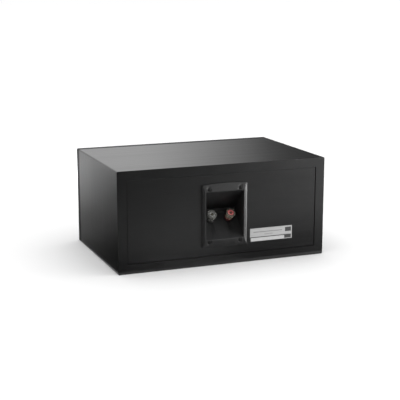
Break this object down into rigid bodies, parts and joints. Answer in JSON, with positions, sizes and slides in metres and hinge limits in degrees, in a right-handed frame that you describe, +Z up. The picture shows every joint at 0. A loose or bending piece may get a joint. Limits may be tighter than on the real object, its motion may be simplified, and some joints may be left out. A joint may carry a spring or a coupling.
{
  "type": "center channel speaker",
  "caption": "Low wide black loudspeaker box with round drivers in its front and a recessed cup of screw terminals in its back.",
  "frame": {"origin": "middle of the underside, on the surface that it stands on", "axes": "+Z up, the drivers face -Y and the terminals face +Y, +X along the width"},
  "size_m": [0.348, 0.236, 0.16],
  "materials": {
    "cabinet_vinyl": "black vinyl on fibreboard, fine grain",
    "baffle_lacquer": "satin black lacquer on fibreboard",
    "socket_rubber": "soft black rubber",
    "wadding": "loose polyester wadding",
    "black_steel": "blackened steel",
    "cup_plastic": "moulded plastic, fine satin texture",
    "gasket_foam": "foam gasket",
    "label_foil": "silver foil, bare",
    "board": "brown laminate",
    "nylon": "natural nylon",
    "resistor_ceramic": "white cement",
    "copper_wire": "enamelled copper",
    "capacitor_film": "resin-dipped film",
    "faceplate_plastic": "satin moulded plastic",
    "dome_cloth": "coated cloth",
    "motor_steel": "zinc-plated steel",
    "magnet": "sintered ferrite",
    "basket_steel": "black powder coat",
    "surround_rubber": "butyl rubber",
    "cone": "moulded fibre-filled cone",
    "spider_cloth": "resin-treated cloth",
    "lead_jacket": "twin lead",
    "black_plastic": "gloss black",
    "red_plastic": "gloss red",
    "plated_brass": "plated brass",
    "clear_plastic": "clear moulded plastic"
  },
  "bodies": {
    "cabinet": {"black_input_lead": "lead_jacket", "black_post_collar": "black_plastic", "black_post_lock_nut": "plated_brass", "black_post_solder_tag": "plated_brass", "black_post_stud": "plated_brass", "board_standoffs": "nylon", "cabinet_wrap": "cabinet_vinyl", "crossover_board": "board", "crossover_capacitor_tweeter": "capacitor_film", "crossover_capacitor_woofer": "capacitor_film", "crossover_inductor_tweeter": "copper_wire", "crossover_inductor_woofer": "copper_wire", "crossover_resistor": "resistor_ceramic", "cup_gasket": "gasket_foam", "cup_screws": "black_steel", "damping_wadding": "wadding", "driver_screws": "black_steel", "front_baffle": "baffle_lacquer", "grille_sockets": "socket_rubber", "rating_label": "label_foil", "rear_panel": "cabinet_vinyl", "red_input_lead": "lead_jacket", "red_post_collar": "red_plastic", "red_post_lock_nut": "plated_brass", "red_post_solder_tag": "plated_brass", "red_post_stud": "plated_brass", "terminal_cup": "cup_plastic", "tweeter_cup": "motor_steel", "tweeter_dome": "dome_cloth", "tweeter_faceplate": "faceplate_plastic", "tweeter_lead": "lead_jacket", "tweeter_magnet": "magnet", "tweeter_pole_plate": "motor_steel", "tweeter_voice_coil": "copper_wire", "woofer_left_basket": "basket_steel", "woofer_left_lead": "lead_jacket", "woofer_left_magnet": "magnet", "woofer_left_spider": "spider_cloth", "woofer_left_surround": "surround_rubber", "woofer_left_top_plate": "motor_steel", "woofer_left_yoke": "motor_steel", "woofer_right_basket": "basket_steel", "woofer_right_lead": "lead_jacket", "woofer_right_magnet": "magnet", "woofer_right_spider": "spider_cloth", "woofer_right_surround": "surround_rubber", "woofer_right_top_plate": "motor_steel", "woofer_right_yoke": "motor_steel"},
    "woofer_left_diaphragm": {"woofer_left_cone": "cone", "woofer_left_voice_coil": "copper_wire"},
    "woofer_right_diaphragm": {"woofer_right_cone": "cone", "woofer_right_voice_coil": "copper_wire"},
    "black_post_nut": {"black_post_cap_insert": "plated_brass"},
    "black_post_cap": {"black_post_cap_sleeve": "clear_plastic", "black_post_cap_ring": "black_plastic"},
    "red_post_nut": {"red_post_cap_insert": "plated_brass"},
    "red_post_cap": {"red_post_cap_sleeve": "clear_plastic", "red_post_cap_ring": "red_plastic"}
  },
  "joints": [
    {"name": "woofer_left_travel", "type": "slide", "parent": "cabinet", "child": "woofer_left_diaphragm", "axis": [0, -1, 0], "range_m": [-0.003, 0.003], "stiffness_N_per_m": 900, "deforming": ["woofer_left_surround", "woofer_left_spider"]},
    {"name": "woofer_right_travel", "type": "slide", "parent": "cabinet", "child": "woofer_right_diaphragm", "axis": [0, -1, 0], "range_m": [-0.003, 0.003], "stiffness_N_per_m": 900, "deforming": ["woofer_right_surround", "woofer_right_spider"]},
    {"name": "black_post_lift", "type": "slide", "parent": "cabinet", "child": "black_post_nut", "axis": [0, 0.7071, 0.7071], "range_m": [0, 0.004]},
    {"name": "black_post_turn", "type": "hinge", "parent": "black_post_nut", "child": "black_post_cap", "pos_m": [0.016, 0.09178, 0.06847], "axis": [0, 0.7071, 0.7071], "range_deg": [0, 1441]},
    {"name": "red_post_lift", "type": "slide", "parent": "cabinet", "child": "red_post_nut", "axis": [0, 0.7071, 0.7071], "range_m": [0, 0.004]},
    {"name": "red_post_turn", "type": "hinge", "parent": "red_post_nut", "child": "red_post_cap", "pos_m": [-0.016, 0.09178, 0.06847], "axis": [0, 0.7071, 0.7071], "range_deg": [0, 1441]}
  ],
  "couplings": [
    {"joint": "black_post_turn", "follows": "black_post_lift", "rad_per_m": 6283.2},
    {"joint": "red_post_turn", "follows": "red_post_lift", "rad_per_m": 6283.2}
  ]
}
